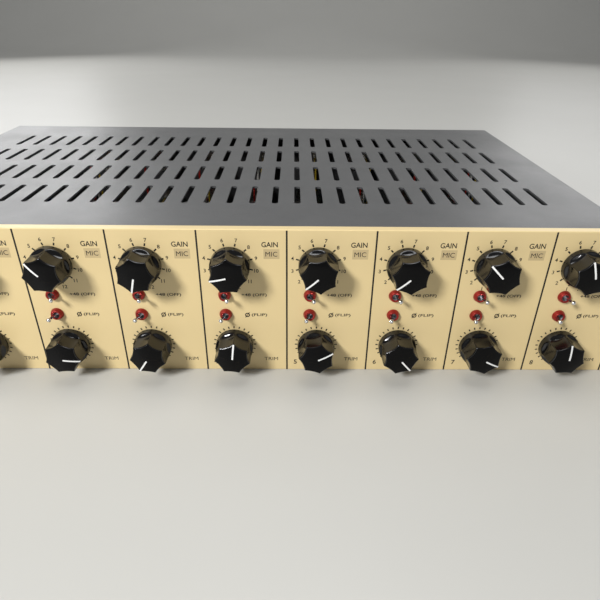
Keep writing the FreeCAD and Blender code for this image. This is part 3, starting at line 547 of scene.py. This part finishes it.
def makeSetScrew():
    # Two half discs on a round floor leave the slot. It lies in the flute opposite the pointer.
    size = screwSizes
    radius, steps = size["radius"], size["halfSteps"]
    slotFloor = size["outer"] - size["slotDepth"]
    start = math.asin(size["slot"] / 2 / radius)
    vertices, faces = [], []
    for side in (-1, 1):
        turns = [start + (math.pi - 2 * start) * step / steps for step in range(steps + 1)]
        outline = [(radius * math.cos(turn), side * radius * math.sin(turn)) for turn in turns]
        addPrism(vertices, faces, outline, (slotFloor, size["outer"]))
    turns = [2 * math.pi * step / size["floorSteps"] for step in range(size["floorSteps"])]
    disc = [(radius * math.cos(turn), radius * math.sin(turn)) for turn in turns]
    addPrism(vertices, faces, disc, (slotFloor - size["floor"], slotFloor))
    screw = meshObject("setScrew", vertices, faces, ["leverChrome"], smooth=False)
    turnOutward(screw.data)
    return screw


def makeKnobBody():
    size = knobSizes
    vertices, faces = turned(knobProfile(), size["segments"])
    blank = meshObject("knobBlank", vertices, faces, ["knobPhenolic"])
    addModifier(blank, fluteTree(), {
        "Lobes": size["lobes"], "Flute Radius": size["fluteRadius"], "Floor Radius": size["floorRadius"],
        "Flute Start": size["gap"] + size["fluteEnd"], "End Round": size["endRound"],
        "Base Radius": size["baseRadius"], "Face Radius": size["faceRadius"], "Base Height": size["gap"],
        "Face Height": shoulder, "Softness": size["softness"], "Crown Radius": crownRadius(),
        "Material": materials["knobPhenolic"]})
    body = evaluatedCopy(blank, "knobBody")
    discard(blank)
    # The crown's upward faces take the darker, less reflective copy of the phenolic as painted shade.
    body.data.materials.append(materials["knobFace"])
    for polygon in body.data.polygons:
        if polygon.normal.z > size["faceSlope"] and polygon.center.z > shoulder:
            polygon.material_index = 1
    return body


def makeShaftEnd():
    size = knobSizes
    radius = size["shaftRadius"]
    low, high = size["gap"] - size["shaftSunk"], size["gap"] + size["recessDepth"]
    vertices, faces = turned([(0, low), (radius, low), (radius, high), (0, high)], size["shaftSegments"])
    return meshObject("shaftEnd", vertices, faces, ["nickelPlate"], smooth=False)


def knobPattern():
    # One knob up the Z axis with its pointer along +Y.
    parts = [makeKnobBody(), makePointer(), makeSetScrew(), makeShaftEnd()]
    pattern = joinedObject("knobPattern", [(part, unmoved) for part in parts])
    discard(*parts)
    return pattern


def placeOnPanel(centre, degrees):
    # From a pattern that stands up Z with its top along +Y, to one that stands out of the panel.
    upright = Matrix(((1, 0, 0), (0, 0, -1), (0, 1, 0))).to_4x4()
    turn = Matrix.Rotation(math.radians(degrees), 4, "Y")
    return Matrix.Translation((centre.x, panelFront, centre.z)) @ turn @ upright


def makeKnobs():
    pattern = knobPattern()
    for name, centre in knobCentre.items():
        knob = joinedObject(pieceName(name), [(pattern, placeOnPanel(centre, restTurn[name]))])
        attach(knob, name)
        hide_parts(name)
    discard(pattern)
    print("knobs made:", len(knobCentre))


makeKnobs()


# Toggle levers and their nuts

leverSizes = {"length": 0.00863, "tip": 0.00125, "neck": 0.0007, "ball": 0.00175, "tail": 0.0026}
leverShape = {"tailWidth": 0.8, "tailBevel": 0.3, "neckMeet": 1.15, "segments": 32}
powerScale = 1.5  # the power toggle is larger than the others
nutSizes = {"radius": 0.0035, "top": 0.0029, "thickness": 0.0025, "bore": 0.00243, "lip": 0.0018,
            "lipHeight": 0.00222, "lipTop": 0.00232, "edge": 0.0003, "lipEdge": 0.0001, "footEdge": 0.0001,
            "flange": 0.0005, "facets": 40}


def leverProfile(scale):
    size = {key: value * scale for key, value in leverSizes.items()}
    neck, tail = size["neck"], size["tail"]
    points = [(0, -tail), (neck * leverShape["tailWidth"], -tail)]
    points += [(neck, -tail + neck * leverShape["tailBevel"])]
    ballTurn = math.degrees(math.asin(neck / size["ball"]))
    points += arc((0, 0), size["ball"], -90 + ballTurn, 90 - ballTurn * leverShape["neckMeet"], 14)
    tipTurn = math.degrees(math.asin(neck / size["tip"]))
    points += arc((0, size["length"]), size["tip"], -90 + tipTurn, 90, 16)
    points[-1] = (0, points[-1][1])
    return points


def makeLevers():
    outward = Matrix.Rotation(math.radians(90), 4, "X")
    for name, place in leverPivot.items():
        if name == "power_lever":
            scale, lean = powerScale, Matrix.Rotation(math.radians(-tilt), 4, "X")
        else:
            scale, lean = 1.0, Matrix.Rotation(math.radians(tilt if "phantom" in name else -tilt), 4, "Z")
        vertices, faces = turned(leverProfile(scale), leverShape["segments"])
        part = meshObject("leverPattern", vertices, faces, ["leverChrome"])
        lever = joinedObject(pieceName(name), [(part, Matrix.Translation(place) @ lean @ outward)])
        discard(part)
        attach(lever, name)
        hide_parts(name)
    print("levers made:", len(leverPivot))


def nutTree():
    # A nut on every point, scaled by the point's own size.
    tree, given, put = newGroup("nutsOnPoints", "GeometryNodeTree",
                                [("Geometry", "NodeSocketGeometry", None), ("Nut", "NodeSocketObject", None),
                                 ("Material", "NodeSocketMaterial", None)],
                                [("Geometry", "NodeSocketGeometry")])
    nut = linked(tree, "GeometryNodeObjectInfo", {"Object": given["Nut"]}).outputs["Geometry"]
    scale = linked(tree, "GeometryNodeInputNamedAttribute", {"Name": "nutScale"}, data_type="FLOAT")
    placed = linked(tree, "GeometryNodeInstanceOnPoints", {"Points": given["Geometry"], "Instance": nut,
                                                           "Scale": scale.outputs[0]})
    endTree(tree, placed.outputs[0], given, put)
    return tree


def makeNuts():
    # The lip covers the bushing's end and leaves room for the lever.
    size = nutSizes
    radius, bore, lip, edge = size["radius"], size["bore"], size["lip"], size["edge"]
    profile = [(bore, 0), (radius - size["footEdge"], 0)]
    profile += [(radius, size["footEdge"]), (radius, size["flange"])]
    profile += arc((size["top"] - edge, size["thickness"] - edge), edge, 20, 110, 5)
    profile += [(lip + size["lipEdge"], size["lipTop"]), (lip, size["lipTop"] - size["lipEdge"] / 2),
                (lip, size["lipHeight"]), (bore, size["lipHeight"])]
    vertices, faces = turned(profile, size["facets"], closed=True)
    outward = Matrix.Rotation(math.radians(90), 4, "X")
    pattern = meshObject("nutPattern", [outward @ v for v in vertices], faces, ["redAnodised"])
    cloud = meshObject("cloud", [(place.x, panelFront, place.z) for place in leverPivot.values()], [], [])
    attribute = cloud.data.attributes.new("nutScale", "FLOAT", "POINT")
    for index, name in enumerate(leverPivot):
        attribute.data[index].value = powerScale if name == "power_lever" else 1.0
    addModifier(cloud, nutTree(), {"Nut": pattern, "Material": materials["redAnodised"]})
    nuts = evaluatedCopy(cloud, "dressNuts")
    discard(cloud, pattern)
    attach(nuts, "case")
    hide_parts("toggle_dress_nuts")
    print("dress nuts made:", len(leverPivot))


makeLevers()
makeNuts()


# Printing on the panel

printSizes = {"proud": 0.00003, "sunk": 0.00002, "lineWidth": 0.0009, "lineFoot": 0.0002,
              "lineTop": 0.08765, "channelLeft": 0.0166, "tickRadius": 0.0114,
              "gainTick": (0.0016, 0.0008), "trimTick": (0.0013, 0.0007), "numberRadius": 0.0141,
              "numberHeight": 0.0021, "numberWidth": 0.36, "gainPlaces": 12, "gainStart": -165,
              "gainStep": 30, "trimStep": 15, "trimSpan": 150, "bolder": 0.016, "curveSteps": 4}
words = {"GAIN": (0.0332, 0.0417, 0.0798, 0.0029), "+48 (OFF)": (0.0217, 0.0354, 0.0500, 0.0022),
         "(FLIP)": (0.0268, 0.0354, 0.0374, 0.0022), "TRIM": (0.0333, 0.0411, 0.0078, 0.0022)}
polaritySign = {"across": 0.0245, "drop": 0.0005, "inner": 0.0008, "outer": 0.00135, "length": 0.0040,
                "width": 0.0004, "degrees": 35}
# Boxes as left, right, bottom and top, from the channel's corner or, for the last, from the power lever.
channelNumber = (0.0040, 0.0058, 0.0042, 0.0072)
labelBox = (0.0342, 0.0425, 0.0717, 0.0773)
labelText = (0.0352, 0.0414, 0.0731, 0.0758)
labelProud = 0.00001
powerText = (-0.0062, 0.0062, -0.0145, -0.0118)


def plate(outline, proud=printSizes["proud"]):
    # A thin closed plate on the panel's face from points (x, z), wound anticlockwise from the front.
    count = len(outline)
    vertices = [(x, panelFront - proud, z) for x, z in outline]
    vertices += [(x, panelFront + printSizes["sunk"], z) for x, z in outline]
    faces = [tuple(range(count)), tuple(range(2 * count - 1, count - 1, -1))]
    for step in range(count):
        following = (step + 1) % count
        faces.append((step, step + count, following + count, following))
    return vertices, faces


def rectangle(low, high, **options):
    return plate([low, (high[0], low[1]), high, (low[0], high[1])], **options)


def bar(centreX, centreZ, length, width, degrees):
    # A rectangle whose length points away from a dial's centre at that clock angle.
    turn = math.radians(degrees)
    along = Vector((math.sin(turn), math.cos(turn))) * length / 2
    across = Vector((math.cos(turn), -math.sin(turn))) * width / 2
    middle = Vector((centreX, centreZ))
    corners = [middle - across - along, middle + across - along]
    corners += [middle + across + along, middle - across + along]
    return plate([(corner.x, corner.y) for corner in corners])


def textMesh(text, low, high, fitWidth=True):
    # Text as a thin closed mesh that fills a box (x, z) on the panel's face.
    curve = bpy.data.curves.new("lettering", "FONT")
    curve.body = text
    curve.size = 1.0
    curve.extrude = 0.01
    curve.resolution_u = printSizes["curveSteps"]
    curve.offset = 0.0 if "M" in text else printSizes["bolder"]  # an M's inner corners can't be widened
    holder = newObject("lettering", curve)
    shaped = evaluatedCopy(holder, "lettering")
    discard(holder)
    xs, ys, zs = zip(*[v.co for v in shaped.data.vertices])
    scaleUp = (high[1] - low[1]) / (max(ys) - min(ys))
    scaleAcross = (high[0] - low[0]) / (max(xs) - min(xs)) if fitWidth else scaleUp
    thick = printSizes["proud"] + printSizes["sunk"]
    middleX = (low[0] + high[0]) / 2
    for v in shaped.data.vertices:
        across = middleX + (v.co.x - (min(xs) + max(xs)) / 2) * scaleAcross
        up = low[1] + (v.co.y - min(ys)) * scaleUp
        out = (v.co.z - min(zs)) / (max(zs) - min(zs)) * thick
        v.co = (across, panelFront + printSizes["sunk"] - out, up)
    turnOutward(shaped.data, merge=True)
    shaped.data.materials.clear()
    shaped.data.materials.append(materials["blackInk"])
    return shaped


def textInBox(text, box, cornerX=0.0, cornerZ=0.0, fitWidth=True):
    left, right, bottom, top = box
    return textMesh(text, (cornerX + left, cornerZ + bottom), (cornerX + right, cornerZ + top), fitWidth)


def ring(centreX, centreZ, inner, outer, count=32):
    front, back = panelFront - printSizes["proud"], panelFront + printSizes["sunk"]
    vertices, faces = [], []
    for step in range(count):
        turn = 2 * math.pi * step / count
        for radius in (inner, outer):
            x, z = centreX + radius * math.cos(turn), centreZ + radius * math.sin(turn)
            vertices += [(x, front, z), (x, back, z)]
    for step in range(count):
        here, after = 4 * step, 4 * ((step + 1) % count)
        faces += [(here, here + 2, after + 2, after), (here + 1, after + 1, after + 3, here + 3),
                  (here, after, after + 1, here + 1), (here + 2, here + 3, after + 3, after + 2)]
    return vertices, faces


def channelCorner(channel):
    return knobCentre["gain_knob_%d" % channel].x - printSizes["channelLeft"]


def aroundDial(centre, radius, degrees):
    turn = math.radians(degrees)
    return centre.x + radius * math.sin(turn), centre.z + radius * math.cos(turn)


def printDials(channel):
    # The ticks and numbers round the gain knob, and the ticks round the trim knob.
    size = printSizes
    gain, trim = knobCentre["gain_knob_%d" % channel], knobCentre["trim_knob_%d" % channel]
    height = size["numberHeight"]
    shapes, letters = [], []
    for place in range(size["gainPlaces"]):
        turn = size["gainStart"] + size["gainStep"] * place
        shapes.append(bar(*aroundDial(gain, size["tickRadius"], turn), *size["gainTick"], turn))
        x, z = aroundDial(gain, size["numberRadius"], turn)
        number = str(place + 1)
        half = height * size["numberWidth"] * len(number)
        low, high = (x - half, z - height / 2), (x + half, z + height / 2)
        letters.append(textMesh(number, low, high, fitWidth=False))
    for turn in range(-size["trimSpan"], size["trimSpan"] + 1, size["trimStep"]):
        shapes.append(bar(*aroundDial(trim, size["tickRadius"], turn), *size["trimTick"], turn))
    return shapes, letters


def printChannel(channel):
    shapes, letters = printDials(channel)
    left = channelCorner(channel)
    for text, (start, end, middle, height) in words.items():
        low, high = (left + start, middle - height / 2), (left + end, middle + height / 2)
        letters.append(textMesh(text, low, high))
    sign = polaritySign
    x, z = left + sign["across"], leverPivot["polarity_lever_%d" % channel].z - sign["drop"]
    shapes.append(ring(x, z, sign["inner"], sign["outer"]))
    shapes.append(bar(x, z, sign["length"], sign["width"], sign["degrees"]))
    letters.append(textInBox(str(channel), channelNumber, left, fitWidth=False))
    letters.append(textInBox("MIC", labelText, left))
    return shapes, letters


def makePrint():
    shapes, letters = [], []
    for channel in channels:
        newShapes, newLetters = printChannel(channel)
        shapes += newShapes
        letters += newLetters
    half = printSizes["lineWidth"] / 2
    for x in [channelCorner(channel) for channel in channels] + [channelCorner(channels[-1]) + channelPitch]:
        shapes.append(rectangle((x - half, printSizes["lineFoot"]), (x + half, printSizes["lineTop"])))
    power = leverPivot["power_lever"]
    letters.append(textInBox("POWER", powerText, power.x, power.z))
    parts = [meshObject("mark", vertices, faces, ["blackInk"], smooth=False) for vertices, faces in shapes]
    printed = joinedObject("panelPrint", [(part, unmoved) for part in parts + letters])
    discard(*parts, *letters)
    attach(printed, "case")
    print("printing made:", len(parts), "marks and", len(letters), "words")


def makeLabels():
    labels = []
    start, end, low, high = labelBox
    for left in [channelCorner(channel) for channel in channels]:
        vertices, faces = rectangle((left + start, low), (left + end, high), proud=labelProud)
        labels.append(meshObject("label", vertices, faces, ["labelStock"], smooth=False))
    stickers = joinedObject("channelLabels", [(part, unmoved) for part in labels])
    discard(*labels)
    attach(stickers, "case")
    print("labels made:", len(labels))


makePrint()
makeLabels()


# Wires in three colours

wireColours = ("wireRed", "wireWhite", "wireYellow")


def looseParts(work):
    # The bmesh's vertices in groups that edges join.
    seen, groups = set(), []
    for vertex in work.verts:
        if vertex in seen:
            continue
        stack, group = [vertex], []
        seen.add(vertex)
        while stack:
            current = stack.pop()
            group.append(current)
            for edge in current.link_edges:
                other = edge.other_vert(current)
                if other not in seen:
                    seen.add(other)
                    stack.append(other)
        groups.append(group)
    return groups


def makeWires():
    # The CAD wires again, with a colour for each by its place from the left: pairs of three colours.
    work = bmesh.new()
    work.from_mesh(nodes["signal_wires"].data)
    bmesh.ops.remove_doubles(work, verts=work.verts, dist=samePlace)
    wireGroups = looseParts(work)
    wireGroups.sort(key=lambda group: sum(vertex.co.x for vertex in group) / len(group))
    for index, group in enumerate(wireGroups):
        for face in {face for vertex in group for face in vertex.link_faces}:
            face.material_index = index // 2 % len(wireColours)
            face.smooth = True
    mesh = bpy.data.meshes.new("hookUpWires")
    work.to_mesh(mesh)
    work.free()
    for name in wireColours:
        mesh.materials.append(materials[name])
    wires = newObject("hookUpWires", mesh)
    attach(wires, "case")
    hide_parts("signal_wires")
    print("wires painted:", len(wireGroups))


makeWires()


# The pilot lamp: a bright bezel with a domed lens in it

lampSizes = {"bezel": 0.0042, "height": 0.0016, "edge": 0.0004, "bore": 0.0026, "lens": 0.0025,
             "sunk": 0.0012, "wall": 0.0004, "boreEdge": 0.0003, "segments": 48}


def makeLamp():
    size = lampSizes
    low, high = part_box("pilot_lamp")
    centre = Vector(((low.x + high.x) / 2, 0, (low.z + high.z) / 2))
    bore, sleeve, edge, boreEdge = size["bore"], size["lens"] + size["wall"], size["edge"], size["boreEdge"]
    profile = [(bore, -size["sunk"]), (sleeve, -size["sunk"]), (sleeve, 0), (size["bezel"], 0)]
    profile += arc((size["bezel"] - edge, size["height"] - edge), edge, 0, 90, 6)
    profile += [(bore + boreEdge, size["height"]), (bore, size["height"] - boreEdge)]
    vertices, faces = turned(profile, size["segments"], closed=True)
    bezel = meshObject("bezel", vertices, faces, ["nickelPlate"])
    dome = arc((0, size["height"]), size["lens"], 0, 90, 12)
    dome[-1] = (0, dome[-1][1])
    vertices, faces = turned([(0, -size["sunk"]), (size["lens"], -size["sunk"])] + dome, size["segments"])
    lens = meshObject("lens", vertices, faces, ["lampRed"])
    place = placeOnPanel(centre, 0)
    lamp = joinedObject("pilotLamp", [(bezel, place), (lens, place)])
    discard(bezel, lens)
    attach(lamp, "case")
    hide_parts("pilot_lamp")
    print("pilot lamp made")


makeLamp()


# Camera, floor and light

viewSizes = {"position": (0.03673, -0.36473, 0.18762), "turn": (60.373, -0.637, -0.578), "lens": 31.227,
             "sensor": 36.0, "near": 0.01, "far": 50.0}
# Each light's power in watts, its place, its width and what it points at.
unitMiddle = (0.0, 0.0, 0.04)
lightSizes = {"key": (29.0, (-0.80, -1.12, 0.98), 0.32, unitMiddle),
              "over": (11.0, (0.1, 0.1, 1.7), 0.8, unitMiddle),
              "fill": (1.0, (1.3, -0.9, 0.9), 1.0, unitMiddle),
              "backLeft": (8.5, (-1.05, 1.5, 0.72), 0.9, unitMiddle),
              "backRight": (5.0, (1.2, 1.5, 0.76), 0.9, unitMiddle),
              "wash": (12.0, (0.0, 2.2, 2.6), 2.0, (0.0, 3.6, 0.3))}
stageSizes = {"reach": 7.0, "wallAt": 3.2, "wallTop": 4.5, "bend": 1.2, "worldStrength": 0.17,
              "worldTone": (0.92, 0.95, 1.0)}
floorFinish = dict(toneA=(0.52, 0.515, 0.485), toneB=(0.505, 0.50, 0.47), rough=(0.4, 0.5), blotch=3.0,
                   grain=300.0, bump=0.01)


def makeCamera():
    data = bpy.data.cameras.new("camera")
    data.lens = viewSizes["lens"]
    data.sensor_width = viewSizes["sensor"]
    data.clip_start = viewSizes["near"]
    data.clip_end = viewSizes["far"]
    camera = newObject("camera", data)
    camera.location = viewSizes["position"]
    camera.rotation_euler = [math.radians(angle) for angle in viewSizes["turn"]]
    bpy.context.scene.camera = camera


def makeLights():
    for name, (power, place, width, aim) in lightSizes.items():
        data = bpy.data.lights.new(name, "AREA")
        data.energy = power
        data.size = width
        light = newObject(name, data)
        light.location = place
        light.rotation_mode = "QUATERNION"
        light.rotation_quaternion = (Vector(aim) - Vector(place)).to_track_quat("-Z", "Y")
    world = bpy.data.worlds.new("studio")
    world.use_nodes = True
    background = world.node_tree.nodes["Background"]
    background.inputs["Color"].default_value = (*stageSizes["worldTone"], 1)
    background.inputs["Strength"].default_value = stageSizes["worldStrength"]
    bpy.context.scene.world = world
    bpy.context.scene.view_settings.view_transform = "Standard"


def makeFloor():
    # A pale floor that curves up into a wall behind.
    surface("floorPaint", **floorFinish)
    size = stageSizes
    outline = [(-size["reach"], 0.0)]
    outline += arc((size["wallAt"] - size["bend"], size["bend"]), size["bend"], -90, 0, 16)
    outline.append((size["wallAt"], size["wallTop"]))
    vertices = [(x, y, z) for y, z in outline for x in (-size["reach"], size["reach"])]
    faces = [(2 * step, 2 * step + 1, 2 * step + 3, 2 * step + 2) for step in range(len(outline) - 1)]
    floor = meshObject("floor", vertices, faces, ["floorPaint"])


makeCamera()
makeLights()
makeFloor()
print("camera, floor and lights set")
